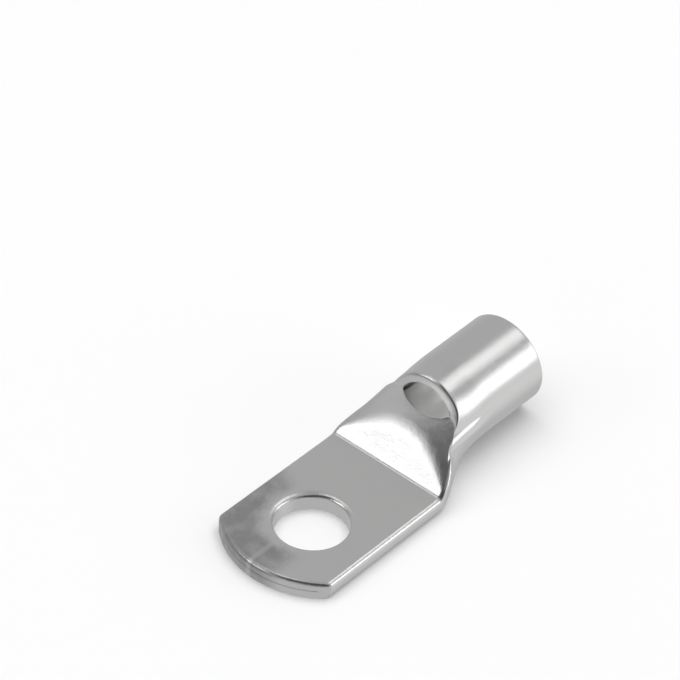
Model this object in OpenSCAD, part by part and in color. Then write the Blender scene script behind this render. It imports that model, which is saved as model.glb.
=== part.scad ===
// Tubular cable lug for a 35 mm2 conductor and an M8 stud.
// One piece of tinned copper tube: a round barrel for the conductor, a neck pressed from round to
// flat, and a flat palm of two tube walls with the bolt hole. The press shears the upper wall at the
// neck, which leaves an arched rim on the barrel, a free lip on the palm side and a window between.
// The origin is at the centre of the bolt hole on the underside, +X runs to the open end, +Z is up.

/* [Palm] */
// Width of the palm at the crease
palm_w = 16; // [14:0.1:18]
// Extra half width that the palm gains towards its free end
palm_flare = 0.15; // [0:0.05:0.4]
// Thickness of the palm, which is two tube walls pressed together
palm_t = 2.1; // [1.6:0.05:2.6]
// Distance from the bolt hole's centre to the free end
palm_end = 9.45; // [8:0.05:12]
// Radius of the arc that cuts the free end
end_arc_r = 11.4; // [10:0.1:20]
// Radius of the two corners of the free end, seen from above
end_corner_r = 0.8; // [0.3:0.1:1.5]
// Radius of the palm's lower long edges
lower_edge_r = 1; // [0.5:0.05:1.1]
// Radius of the palm's upper long edges
upper_edge_r = 0.3; // [0.15:0.05:0.4]
// Width of the seam between the two walls, seen on the end face
seam_gap = 0.06; // [0.04:0.01:0.15]
// Depth of the seam into the end face
seam_depth = 0.15; // [0.1:0.05:0.4]

/* [Bolt hole] */
// Diameter of the bolt hole
bolt_hole_d = 8.4; // [6.4:0.1:9]
// Radius that the punch leaves on the hole's upper edge
hole_roll_r = 0.3; // [0.1:0.05:0.5]

/* [Barrel] */
// Outside diameter of the barrel
barrel_d = 10.75; // [10:0.05:12]
// Inside diameter of the barrel, for the conductor
bore_d = 8.5; // [8:0.05:9]
// Distance from the bolt hole's centre to the barrel's open end
barrel_end = 32.2; // [28:0.1:45]
// Chamfer on the outer edge of the open end
mouth_outer_chamfer = 0.2; // [0.05:0.05:0.3]
// Chamfer on the inner edge of the open end
mouth_inner_chamfer = 0.3; // [0.05:0.05:0.4]

/* [Pressed neck] */
// Distance from the bolt hole's centre to the crease where the palm ends
crease_x = 12.45; // [11:0.05:14]
// Length from the crease to the sheared rim, at the barrel's axis
ramp_l = 5.75; // [5:0.05:7]
// Length behind the rim over which the neck runs out into the round barrel
runout_l = 2.6; // [2:0.1:4]
// Height of each side fold above the barrel's axis at the rim
fold_rise = 0.95; // [0.7:0.05:1.2]
// Depth of the dish below the straight line from the crease to the lip
dish_sag = 0.3; // [0:0.05:0.5]
// How fast the raised shoulders grow along the dish
shoulder_power = 2.5; // [1.5:0.1:4]

/* [Inspection window] */
// Clear width of the window
window_w = 7.2; // [6:0.1:7.6]
// Height of the lip's middle above the underside
lip_z = 6.85; // [5.5:0.05:7.2]
// How far the lip's middle is drawn back from the rim
lip_setback = 0.7; // [0:0.05:1]
// How much the arch is pressed down at the rim
arch_drop = 0.22; // [0:0.02:0.4]
// Size of the rolled outer edge of the rim
rim_roll = 0.35; // [0.15:0.05:0.5]
// Lean of the sheared rim, as run for each unit of rise
rim_lean = 0.175; // [0:0.005:0.3]

/* [Hidden] */

$fn = 96;

// Overshoot of cutting shapes
over = 1;
// The neck's skin lies this far inside the faces of the palm and the barrel that it joins
sink = 0.02;
// The neck's bore is wider than the barrel's by this much all round, so that it ends in the wall
bore_sink = 0.05;
// Length of skin that is buried in the palm
palm_bury = 0.4;
// Length by which the palm and the barrel overlap the skin
joint_lap = 0.1;
// The hollow starts at this share of the ramp
hollow_start = 0.08;
// Half width of the flat that is left where the section is round
round_flat = 0.04;
// Smallest corner of the hollow
hollow_corner = 0.3;

// Steps around one half of a section: lower corner, side fold, shoulder and lip
side_steps = 8;
fold_steps = 4;
shoulder_steps = 4;
lip_steps = 6;
// Steps along the ramp, the hollow and the run-out
ramp_steps = 11;
hollow_steps = 9;
runout_steps = 4;

barrel_r = barrel_d / 2;
bore_r = bore_d / 2;
wall = barrel_r - bore_r;
axis_z = barrel_r;
rim_x = crease_x + ramp_l;
round_x = rim_x + runout_l;
bolt_hole_r = bolt_hole_d / 2;
end_arc_x = end_arc_r - palm_end;
flare_angle = atan(palm_flare / (palm_end + crease_x));

// Centre of an end corner's arc, which touches both the side and the end arc
corner_centre =
    let (
        m = tan(flare_angle),
        a = palm_w / 2 + crease_x * m - end_corner_r / cos(flare_angle),
        b = end_arc_x + a * m,
        c = pow(end_arc_x, 2) + a * a - pow(end_arc_r - end_corner_r, 2),
        x = (b - sqrt(b * b - (1 + m * m) * c)) / (1 + m * m)
    )
    [x, a - m * x];

function mix(a, b, t) = a + (b - a) * t;
function clamp01(t) = min(max(t, 0), 1);
function smooth(t) = let (c = clamp01(t)) c * c * (3 - 2 * c);

// ---- Sizes along the neck, where u is 0 at the crease and 1 at the rim ----
function along(x) = clamp01((x - crease_x) / ramp_l);
function half_w(x) = mix(palm_w / 2, barrel_r, smooth((x - crease_x) / (ramp_l + runout_l)));
function rounding(x) = smooth((x - crease_x) / (ramp_l + runout_l));
function corner_w(x) = mix(lower_edge_r, half_w(x) - round_flat, rounding(x));
function corner_h(x) = mix(lower_edge_r, axis_z - round_flat, rounding(x));
function ridge_z(x) = mix(palm_t, axis_z + fold_rise, along(x));
function fold_h(x) = mix(upper_edge_r, fold_rise, along(x));
function fold_w(x) = mix(upper_edge_r, half_w(rim_x) - ridge_y_at_rim, along(x));
function floor_z(x) = let (u = along(x)) mix(palm_t, lip_z, u) - 4 * dish_sag * u * (1 - u);
function wall_t(x) = mix(palm_t / 2, wall, along(x));
function lean(x) = rim_lean * (x < rim_x ? along(x) : 1 - smooth((x - rim_x) / runout_l));
function skin_h(x) = mix(palm_t, barrel_d, along(x));

// ---- The arch over the window ----
function arch_r(x) = barrel_r - arch_drop * (1 - smooth((x - rim_x) / runout_l));
rim_bore_r = arch_r(rim_x) - wall;
window_y = window_w / 2;
window_angle = acos(window_y / rim_bore_r);
window_z = axis_z + rim_bore_r * sin(window_angle);
fold_angle = asin(fold_rise / arch_r(rim_x));
ridge_y_at_rim = arch_r(rim_x) * cos(fold_angle);

// ---- The dish: a floor, ridges at its sides and a shoulder beside each end of the lip ----
window_q = window_y / ridge_y_at_rim;
function bump(q) = q * q * (1 - q * q);
shoulder_h = (window_z - lip_z - (axis_z + fold_rise - lip_z) * pow(window_q, 6)) / bump(window_q);
function shoulder(x) = shoulder_h * pow(along(x), shoulder_power);
function dish_z(x, q) = floor_z(x) + (ridge_z(x) - floor_z(x)) * pow(q, 6) + shoulder(x) * bump(q);

// ---- The hollow between the pressed walls ----
function hollow_w(x) = half_w(x) - wall_t(x);
function hollow_side_z(x) = mix(palm_t / 2, axis_z, along(x));
// Share of the half width that is left at share k of the turn under a fold
function fold_share(k) = cos(fold_angle * k) * mix(1, rim_bore_r / hollow_w(rim_x), k);
hollow_edge = fold_share(1);
function edge_z(x) = mix(palm_t / 2, axis_z + rim_bore_r * sin(fold_angle), along(x));
function ceiling_z(x, q) =
    let (s = q / hollow_edge)
    mix(floor_z(x) - wall_t(x), edge_z(x), pow(s, 6)) + shoulder(x) * q * q * (1 - s * s);
window_hollow_q = window_y / hollow_w(rim_x);

// Shares of the way across, from the ridge to the window's corner and on to the middle
function across(edge, corner) = concat(
    [for (i = [1 : shoulder_steps]) mix(edge, corner, i / shoulder_steps)],
    [for (i = [1 : lip_steps]) corner * (1 - i / lip_steps)]
);

// Angles over the arch, from the fold to the window's corner and on to the top
arch_angles = concat(
    [for (i = [1 : shoulder_steps]) mix(fold_angle, window_angle, i / shoulder_steps)],
    [for (i = [1 : lip_steps]) mix(window_angle, 90, i / lip_steps)]
);

// ---- Half sections as [y, z], from the bottom up to the middle of the top ----
function corner_arc(flat, w, h, z) =
    [for (i = [0 : side_steps]) let (a = 90 * i / side_steps) [flat + w * sin(a), z - h * cos(a)]];

function outer_low(x) = corner_arc(half_w(x) - corner_w(x), corner_w(x), corner_h(x), corner_h(x));

function fold_arc(x) =
    let (w = fold_w(x), h = fold_h(x))
    [for (i = [0 : fold_steps]) let (a = 90 * i / fold_steps)
        [half_w(x) - w + w * cos(a), ridge_z(x) - h + h * sin(a)]];

function arch_arc(r) = [for (a = arch_angles) [r * cos(a), axis_z + r * sin(a)]];

function ramp_half(x) =
    let (y = half_w(x) - fold_w(x))
    concat(outer_low(x), fold_arc(x), [for (q = across(1, window_q)) [y * q, dish_z(x, q)]]);

function run_half(x) =
    let (r = arch_r(x), fade = smooth((x - rim_x) / runout_l), fold = fold_arc(x))
    concat(
        outer_low(x),
        [for (i = [0 : fold_steps]) let (a = fold_angle * i / fold_steps)
            mix(fold[i], [r * cos(a), axis_z + r * sin(a)], fade)],
        arch_arc(r)
    );

function rim_half() =
    let (roll = [for (a = arch_angles) rim_roll * smooth((a - fold_angle) / 20)])
    concat(
        outer_low(rim_x),
        fold_arc(rim_x),
        [for (i = [0 : len(arch_angles) - 1]) let (a = arch_angles[i], r = arch_r(rim_x) - roll[i])
            [r * cos(a), axis_z + r * sin(a)]]
    );

function hollow_low(x) =
    let (w = max(corner_w(x) - wall_t(x), hollow_corner), z = hollow_side_z(x))
    corner_arc(hollow_w(x) - w, w, z - wall_t(x), z);

function hollow_half(x) =
    concat(
        hollow_low(x),
        [for (i = [0 : fold_steps]) let (k = (i + 1) / (fold_steps + 1))
            [hollow_w(x) * fold_share(k),
             mix(hollow_side_z(x), edge_z(x), sin(fold_angle * k) / sin(fold_angle))]],
        [for (q = across(hollow_edge, window_hollow_q)) [hollow_w(x) * q, ceiling_z(x, q)]]
    );

function bore_half(x) =
    let (r = arch_r(x) - wall)
    concat(
        hollow_low(x),
        [for (i = [0 : fold_steps]) let (k = (i + 1) / (fold_steps + 1), a = fold_angle * k)
            [cos(a) * mix(hollow_w(x), r, k), axis_z + r * sin(a)]],
        arch_arc(r)
    );

// ---- Whole sections as rings of [x, y, z] ----
fold_i = side_steps + 1 + fold_steps;
window_i = fold_i + shoulder_steps;
ring_n = 2 * (window_i + lip_steps) + 1;
// Steps from the bottom of a ring to its point j, the same on both sides
function height_i(j) = let (k = j % ring_n) min(k, ring_n - 1 - k);
function whole(half) = concat(half, [for (i = [len(half) - 2 : -1 : 0]) [-half[i].x, half[i].y]]);
function place(x, lean, p) = [x + lean * max(0, p.y - axis_z), p.x, p.y];
// A ring of the skin, drawn in by the sink so that it ends inside the palm and the barrel
function skin_ring(x, at, half) =
    let (w = 1 - sink / half_w(x), h = 1 - 2 * sink / skin_h(x))
    [for (p = whole(half)) place(at, lean(x), [p.x * w, sink + p.y * h])];
function ring(x, at, half) = [for (p = whole(half)) place(at, lean(x), p)];
function wider(points) =
    let (k = 1 + bore_sink / bore_r)
    [for (p = points) [p.x, p.y * k, axis_z + (p.z - axis_z) * k]];
// The lip's middle is drawn back from the rim, and the dish before it follows
function set_back(x, points) =
    let (reach = lip_setback * pow(along(x), 3))
    [for (j = [0 : ring_n - 1]) let (t = clamp01((height_i(j) - window_i) / lip_steps))
        points[j] - [reach * t * (2 - t), 0, 0]];

ramp_rings = concat(
    [skin_ring(crease_x, crease_x - palm_bury, ramp_half(crease_x))],
    [for (i = [0 : ramp_steps]) let (x = mix(crease_x, rim_x, i / ramp_steps))
        set_back(x, skin_ring(x, x, ramp_half(x)))]
);
run_rings = concat(
    [skin_ring(rim_x, rim_x, rim_half())],
    [skin_ring(rim_x + rim_roll, rim_x + rim_roll, run_half(rim_x + rim_roll))],
    [for (i = [1 : runout_steps]) let (x = mix(rim_x + rim_roll, round_x, i / runout_steps))
        skin_ring(x, x, run_half(x))],
    [skin_ring(round_x, round_x + joint_lap, run_half(round_x))]
);
hollow_rings = [for (i = [0 : hollow_steps])
    let (x = mix(mix(crease_x, rim_x, hollow_start), rim_x, i / hollow_steps))
    set_back(x, ring(x, x, hollow_half(x)))];
bore_rings = concat(
    [for (i = [0 : runout_steps]) let (x = mix(rim_x, round_x, i / runout_steps))
        wider(ring(x, x, bore_half(x)))],
    [wider(ring(round_x, round_x + joint_lap, bore_half(round_x)))]
);

// ---- The skin of the neck ----
ramp_0 = 0;
run_0 = ramp_0 + len(ramp_rings);
hollow_0 = run_0 + len(run_rings);
bore_0 = hollow_0 + len(hollow_rings);
ramp_last = run_0 - 1;
run_last = hollow_0 - 1;
hollow_last = bore_0 - 1;
bore_last = bore_0 + len(bore_rings) - 1;

// Point j of a ring. The rim's ring shares the ramp's points up to the fold, and the bore's first
// ring shares the hollow's points up to the fold and the lip's corners.
function id(r, j) =
    let (k = j % ring_n, h = height_i(j))
    r == run_0 && h <= fold_i ? id(ramp_last, k)
    : r == bore_0 && h <= fold_i ? id(hollow_last, k)
    : r == bore_0 && h == window_i ? id(ramp_last, k)
    : r * ring_n + k;

function is_face(f) = f[0] != f[1] && f[1] != f[2] && f[2] != f[0];
// Two triangles for each step j between two rings, without those that have no area
function strip(r1, r2, steps) = [for (j = steps)
    let (a = id(r1, j), b = id(r1, j + 1), c = id(r2, j + 1), d = id(r2, j))
    for (f = [[a, c, b], [a, d, c]]) if (is_face(f)) f];
function turned(faces) = [for (f = faces) [f[2], f[1], f[0]]];

all_steps = [for (j = [0 : ring_n - 1]) j];
function steps_between(low, high) =
    [for (j = all_steps) if (min(height_i(j), height_i(j + 1)) >= low
        && max(height_i(j), height_i(j + 1)) <= high) j];

function neck_faces() = concat(
    // Outside, from the palm to the rim and from the rim to the barrel
    [for (r = [ramp_0 : ramp_last - 1]) each strip(r, r + 1, all_steps)],
    [for (r = [run_0 : run_last - 1]) each strip(r, r + 1, all_steps)],
    // Sheared step from the dish up to the rim's outer edge, beside the window
    strip(ramp_last, run_0, steps_between(fold_i, window_i)),
    // Sheared face of the arch over the window, and the end face of the lip below it
    strip(bore_0, run_0, steps_between(window_i, ring_n)),
    strip(ramp_last, hollow_last, steps_between(window_i, ring_n)),
    // Inside step between the hollow and the bore
    turned(strip(hollow_last, bore_0, steps_between(fold_i, window_i))),
    // Inside, and the ends
    [for (r = [hollow_0 : hollow_last - 1]) each turned(strip(r, r + 1, all_steps))],
    [for (r = [bore_0 : bore_last - 1]) each turned(strip(r, r + 1, all_steps))],
    strip(run_last, bore_last, all_steps),
    [[for (j = all_steps) id(ramp_0, j)]],
    [[for (j = [ring_n - 1 : -1 : 0]) id(hollow_0, j)]]
);

module neck() {
    polyhedron(
        points = [for (r = concat(ramp_rings, run_rings, hollow_rings, bore_rings)) each r],
        faces = neck_faces(),
        convexity = 8
    );
}

// ---- The palm ----
// Half section with a full lower edge and a tight upper one, which reaches a little past the middle
module palm_section() {
    w = palm_w / 2;
    flat_h = palm_t - lower_edge_r - upper_edge_r;
    translate([-over, 0]) square([w - lower_edge_r + over, palm_t]);
    translate([-over, lower_edge_r]) square([w + over, flat_h]);
    translate([-over, lower_edge_r]) square([w - upper_edge_r + over, palm_t - lower_edge_r]);
    translate([w - lower_edge_r, lower_edge_r]) circle(r = lower_edge_r);
    translate([w - upper_edge_r, palm_t - upper_edge_r]) circle(r = upper_edge_r);
}

// One half of the palm as a bar that runs from the crease and opens towards the free end
module palm_half() {
    length = palm_end + crease_x + 2 * over;
    translate([crease_x, 0, 0])
        rotate([0, 0, -flare_angle])
            translate([over - length, 0, 0])
                rotate([90, 0, 90])
                    linear_extrude(length) palm_section();
}

// What is cut off one corner of the free end, seen from above
module corner_cut() {
    reach = 3 * end_corner_r;
    side_dir = [sin(flare_angle), cos(flare_angle)];
    arc_dir = (corner_centre - [end_arc_x, 0]) / (end_arc_r - end_corner_r);
    translate(corner_centre) difference() {
        polygon([[0, 0], side_dir * reach, (side_dir + arc_dir) * reach, arc_dir * reach]);
        circle(r = end_corner_r);
    }
}

// Outline of the palm from above, apart from its sides
module palm_outline() {
    difference() {
        union() {
            translate([end_arc_x, 0]) circle(r = end_arc_r);
            translate([end_arc_x, -end_arc_r])
                square([crease_x + joint_lap - end_arc_x, 2 * end_arc_r]);
        }
        translate([crease_x + joint_lap, -end_arc_r]) square(2 * end_arc_r);
        corner_cut();
        mirror([0, 1]) corner_cut();
    }
}

// The line where the two pressed walls meet, as a slot round the free end
module end_seam() {
    translate([end_arc_x, 0, (palm_t - seam_gap) / 2]) intersection() {
        difference() {
            cylinder(r = end_arc_r + over, h = seam_gap);
            translate([0, 0, -over]) cylinder(r = end_arc_r - seam_depth, h = seam_gap + 2 * over);
        }
        translate([-end_arc_r - over, -palm_w, -over]) cube([palm_end, 2 * palm_w, 2 * over]);
    }
}

// Bolt hole with the rolled edge that the punch leaves on top
module bolt_hole() {
    translate([0, 0, -over]) cylinder(r = bolt_hole_r, h = palm_t + 2 * over);
    rotate_extrude() difference() {
        translate([bolt_hole_r - seam_gap, palm_t - hole_roll_r])
            square([hole_roll_r + seam_gap, hole_roll_r + over]);
        translate([bolt_hole_r + hole_roll_r, palm_t - hole_roll_r]) circle(r = hole_roll_r);
    }
}

module palm() {
    difference() {
        intersection() {
            union() {
                palm_half();
                mirror([0, 1, 0]) palm_half();
            }
            translate([0, 0, -over]) linear_extrude(palm_t + 2 * over) palm_outline();
        }
        bolt_hole();
        end_seam();
    }
}

// ---- The barrel ----
module barrel() {
    length = barrel_end - round_x;
    translate([round_x, 0, axis_z]) rotate([0, 90, 0]) difference() {
        union() {
            cylinder(r = barrel_r, h = length - mouth_outer_chamfer);
            translate([0, 0, length - mouth_outer_chamfer])
                cylinder(r1 = barrel_r, r2 = barrel_r - mouth_outer_chamfer, h = mouth_outer_chamfer);
        }
        translate([0, 0, -over]) cylinder(r = bore_r, h = length + 2 * over);
        translate([0, 0, length - mouth_inner_chamfer])
            cylinder(r1 = bore_r, r2 = bore_r + mouth_inner_chamfer + over, h = mouth_inner_chamfer + over);
    }
}

module cable_lug() {
    color("silver") {
        palm();
        neck();
        barrel();
    }
}

cable_lug();
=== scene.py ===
"""Looks of a tubular cable lug: the pressed and tinned tube, its stage, lights and camera."""

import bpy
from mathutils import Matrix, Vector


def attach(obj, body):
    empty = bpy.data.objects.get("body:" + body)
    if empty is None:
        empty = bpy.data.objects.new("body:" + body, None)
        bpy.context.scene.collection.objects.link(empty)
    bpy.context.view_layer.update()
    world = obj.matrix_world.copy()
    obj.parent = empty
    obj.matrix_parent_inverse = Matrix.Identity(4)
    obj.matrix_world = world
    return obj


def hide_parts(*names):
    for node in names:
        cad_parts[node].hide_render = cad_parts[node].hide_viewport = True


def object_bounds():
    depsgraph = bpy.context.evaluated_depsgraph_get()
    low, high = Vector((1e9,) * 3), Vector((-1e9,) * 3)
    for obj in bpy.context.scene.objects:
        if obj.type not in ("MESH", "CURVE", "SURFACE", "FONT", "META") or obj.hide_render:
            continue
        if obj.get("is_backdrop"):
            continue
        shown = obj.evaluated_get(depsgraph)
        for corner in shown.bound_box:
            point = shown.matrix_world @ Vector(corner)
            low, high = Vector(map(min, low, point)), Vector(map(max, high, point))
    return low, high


bl_info = {
    "name": "Tubular Cable Lug",
    "version": (1, 0, 0),
    "blender": (4, 5, 0),
    "location": "3D View > Sidebar > Cable Lug",
    "description": "Builds a tinned tube lug and the stage it is shown on",
    "category": "Add Mesh",
}

import copy
import math

import bpy
import numpy as np
from mathutils import Matrix, Vector

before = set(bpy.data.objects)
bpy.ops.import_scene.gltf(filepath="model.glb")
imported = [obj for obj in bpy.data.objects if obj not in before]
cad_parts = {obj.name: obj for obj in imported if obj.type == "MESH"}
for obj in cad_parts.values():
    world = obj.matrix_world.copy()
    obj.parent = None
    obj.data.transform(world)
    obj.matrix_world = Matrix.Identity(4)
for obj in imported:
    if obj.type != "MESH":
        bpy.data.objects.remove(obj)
CAD_LOW, CAD_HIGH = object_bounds()
MM = 0.001
# Points of the skin that are closer than this become one
WELD = 2e-7
TINY = 1e-9

# ---------------------------------------------------------------- rings and shared rules

# Columns of half a ring: the low path from the middle of the bottom to the fold, then the fold,
# the shoulder beside the lip and the lip itself. The other half of the ring mirrors them.
FOLD, SHOULDER, LIP = 8, 10, 18
LOW = FOLD + SHOULDER + LIP
HALF = 2 * LOW
RING = 2 * HALF
FOLD_END = LOW + FOLD
LIP_END = FOLD_END + SHOULDER

# Columns of the lower half of a ring, and the upper column over each of them
LOWER = [j % RING for j in range(-LOW, LOW + 1)]
UPPER = [(HALF - j) % RING for j in range(-LOW, LOW + 1)]
# Columns at the window's corners, those of the lip between them, and those of the two shoulders
CORNERS = [LIP_END, RING - LIP_END]
LIP_COLUMNS = list(range(LIP_END, RING - LIP_END))
STEP_COLUMNS = [*range(FOLD_END, LIP_END), *range(RING - LIP_END, RING - FOLD_END)]

# Shares of the low path's columns at which its corner and its side begin on the palm
CORNER_FROM, SIDE_FROM = 0.40, 0.85
# How much closer the shoulder's columns stand near the fold
SHOULDER_CROWDING = 1.3
# How late along the ramp the rim's own forms set in, and how near the fold and the hollow's edge
RIM_POWER, FOLD_POWER, CEILING_POWER = 3, 6, 4
# Angle along the arch over which its rolled outer edge and its inner edge fade in
OUTER_FADE, INNER_FADE = math.radians(20), math.radians(12)
# Rounds that settle the fold's height on the rim, and the dish's height where its row is moved
FOLD_ROUNDS, DISH_ROUNDS = 12, 5

# Rings of each stretch of the skin, and of each rounded edge
END_RINGS, PALM_RINGS, DISH_RINGS, HOLLOW_RINGS = 16, 36, 46, 40
RUNOUT_RINGS, BARREL_RINGS, BORE_RUNOUT_RINGS, BORE_RINGS = 20, 24, 22, 20
END_EDGE, RIM_EDGE, MOUTH_EDGE, LIP_TOP_EDGE, SMALL_EDGE = 9, 7, 6, 5, 4
THROUGH_WALL = (0.0, 0.25, 0.5, 0.75, 1.0)
# Shares of the palm's length where its first rings stand
FIRST_RINGS = (0.004, 0.012, 0.025, 0.045)
# Rings about the crease, in millimetres. The first ends the palm and the last begins the dish.
CREASE_RINGS = (-0.4, -0.3, -0.2, -0.12, -0.06, 0.0, 0.06, 0.12, 0.2, 0.3, 0.42, 0.55)
# Share of the ramp where the hollow begins, and share of the lip over which its edges round off
HOLLOW_FROM, LIP_EDGE_REACH = 0.08, 0.25
# The seam on the free end: its edge's depth as a share of the cut edge, and how much it opens
SEAM_EDGE, SEAM_OPENING = 0.3, 1.6


def column_shares():
    """The side of each column, and where it lies on each stretch of the half ring, from 0 to 1."""
    j = np.arange(RING)
    k = np.abs((j + HALF) % RING - HALF)
    return {
        "side": np.where(j <= HALF, 1.0, -1.0),
        "low": np.clip(k / LOW, 0, 1),
        "fold": np.clip((k - LOW) / FOLD, 0, 1),
        "shoulder": np.clip((k - FOLD_END) / SHOULDER, 0, 1),
        "lip": np.clip((k - LIP_END) / LIP, 0, 1),
    }


def without(c, *stretches):
    """The column shares with some stretches held at their start."""
    return {**c, **{name: 0.0 * c[name] for name in stretches}}


def choose(operation, rule, a, b):
    """A Math node where either value is a node's socket, and the rule for numbers otherwise."""
    for v in (a, b):
        if isinstance(v, Field):
            return v.math(operation, a, b)
    return rule(a, b)


def least(a, b):
    return choose("MINIMUM", np.minimum, a, b)


def most(a, b):
    return choose("MAXIMUM", np.maximum, a, b)


def clamp(v):
    return least(most(v, 0.0), 1.0)


def mix(a, b, t):
    return a + (b - a) * t


def smooth(v):
    c = clamp(v)
    return c * c * (3 - 2 * c)


def soft_least(a, b, reach):
    """The smaller of two heights, with a soft crease where they meet."""
    reach = most(reach, TINY)
    h = clamp(0.5 + (b - a) / (2 * reach))
    return mix(b, a, h) - reach * h * (1 - h)


def across(c, at_fold, at_corner, in_middle):
    """A value that runs from the fold over the window's corner to the middle of the lip."""
    return mix(mix(at_fold, at_corner, c["shoulder"] ** SHOULDER_CROWDING), in_middle, c["lip"])


def quarter_turn(rings):
    """Sine and cosine at even steps from 0 to 90 degrees."""
    return [(math.sin(a), math.cos(a)) for a in np.linspace(0, math.pi / 2, rings)]


# ---------------------------------------------------------------- the lug's shape


class Lug:
    """The sizes of the lug in metres and the rules that give its skin.

    The tube lies along X on z 0, with the bolt hole at x 0. A "half" method gives half widths and
    heights for all columns of a ring, and the columns' side then puts them on +Y or -Y.
    """

    def __init__(self, sizes):
        for name, value in sizes.items():
            setattr(self, name, value)
        self.axis_z = self.barrel_r
        self.wall = self.barrel_r - self.bore_r
        self.rim_x = self.crease_x + self.ramp_l
        self.round_x = self.rim_x + self.runout_l
        self.rim_arch_r = self.barrel_r - self.arch_drop
        self.rim_bore_r = self.rim_arch_r - self.wall
        self.window_y = self.window_w / 2
        self.window_a = math.acos(self.window_y / self.rim_bore_r)
        self.side = column_shares()["side"]
        # The shoulders fall so that they pass through the window's corner
        corner_rise = self.rim_bore_r * math.sin(self.window_a)
        corner_run = self.rim_x + self.rim_lean * corner_rise - self.crease_x
        fall = self.axis_z + corner_rise - self.palm_t - self.shoulder_slope * corner_run
        self.shoulder_fall = fall / (self.palm_w / 2 - self.window_y) ** self.shoulder_bend
        # Each fold ends on the rim, on the arch and on the shoulder at once
        swept = self.rim_sweep * (self.side < 0)
        self.fold_rise = 0 * self.side
        for _ in range(FOLD_ROUNDS):
            self.ridge_y = np.sqrt(self.rim_arch_r**2 - self.fold_rise**2)
            end_x = self.rim_x + self.rim_lean * self.fold_rise - swept
            self.fold_rise = self.dish(end_x, self.ridge_y) - self.axis_z
        self.fold_a = np.arcsin(self.fold_rise / self.rim_arch_r)
        self.near_fold_y = float(self.ridge_y[-LOW])
        self.near_fold_z = float(self.axis_z + self.fold_rise[-LOW])
        self.rim_edge_z = self.axis_z + self.rim_bore_r * np.sin(self.fold_a)
        self.window_share = self.window_y / self.ridge_y
        self.rim_half_w = self.half_w(self.rim_x)
        self.hollow_rim_w = self.hollow_w(self.rim_x)
        self.hollow_edge = np.cos(self.fold_a) * self.rim_bore_r / self.hollow_rim_w
        self.hollow_window = self.window_y / self.hollow_rim_w

    # How far along the lug

    def run(self, x):
        """Distance past the crease, from 0 before it, with a soft turn at the crease."""
        d = x - self.crease_x
        return (d + (d * d + self.crease_r * self.crease_r) ** 0.5) / 2

    def along(self, x):
        """0 up to the crease and 1 from the rim on."""
        return least(self.run(x) / self.ramp_l, 1.0)

    def runout(self, x):
        """0 up to the rim and 1 from where the arch is round."""
        return smooth((x - self.rim_x) / self.runout_l)

    def toward_round(self, x):
        """0 up to the crease and 1 at the end of the taper, quick at first and slow at the end."""
        t = clamp((x - self.crease_x) / self.taper_l)
        return 1 - (1 - t) ** self.taper_power * (1 + self.taper_power * t)

    # Sizes of the ring at x

    def half_w(self, x):
        flare = self.palm_flare * most(self.crease_x - x, 0.0) / (self.palm_end + self.crease_x)
        return mix(self.palm_w / 2, self.barrel_r, self.toward_round(x)) + flare

    def corner_w(self, x):
        return mix(self.lower_edge_r, self.half_w(x), self.toward_round(x))

    def corner_h(self, x):
        return mix(self.lower_edge_r, self.axis_z, self.toward_round(x))

    def fold_h(self, x):
        return mix(self.upper_edge_r, self.fold_rise, self.along(x))

    def fold_w(self, x):
        return mix(self.upper_edge_r, self.rim_half_w - self.ridge_y, self.along(x))

    def wall_t(self, x):
        return mix(self.palm_t / 2, self.wall, self.along(x))

    def arch_r(self, x):
        return self.barrel_r - self.arch_drop * (1 - self.runout(x))

    def hollow_w(self, x):
        return self.half_w(x) - self.wall_t(x)

    def hollow_side_z(self, x):
        return mix(self.palm_t / 2, self.axis_z, self.along(x))

    def hollow_edge_z(self, x):
        return mix(self.palm_t / 2, self.rim_edge_z, self.along(x))

    # The dish, and how its rows are moved

    def dish(self, x, y):
        """Height of the dish: a flat facet and two flat shoulders that meet in soft creases."""
        run = self.run(x)
        half, bend = self.palm_w / 2, self.shoulder_bend
        this_side = self.shoulder_slope * run + self.shoulder_fall * most(half - y, 0.0) ** bend
        other_side = self.shoulder_slope * run + self.shoulder_fall * (half + y) ** bend
        shoulders = soft_least(this_side, other_side, self.spine_soft * run)
        return self.palm_t + soft_least(self.facet_slope * run, shoulders, self.shoulder_soft * run)

    def set_back(self, x, c):
        """How far the lip is drawn back, most in its middle."""
        return self.lip_setback * self.along(x) ** RIM_POWER * c["lip"] * (2 - c["lip"])

    def shift(self, x, y, z, on_near):
        """How far the press leans the rim above the axis and draws the fold on -Y to the palm."""
        along, before_round = self.along(x), 1 - self.runout(x)
        lean = self.rim_lean * along * before_round * most(z - self.axis_z, 0.0)
        off = most(z - self.near_fold_z, (self.near_fold_z - z) / 2)
        near_fold = smooth(1 - off / self.sweep_h) * (y / self.near_fold_y) ** FOLD_POWER * on_near
        return lean - self.rim_sweep * (along**RIM_POWER * before_round) * near_fold

    def dish_z(self, x, c, y):
        """The dish where the row has been leaned, swept and set back."""
        z = self.dish(x, y)
        for _ in range(DISH_ROUNDS):
            z = self.dish(x + self.shift(x, y, z, self.side < 0) - self.set_back(x, c), y)
        return z

    # Half rings

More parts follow.
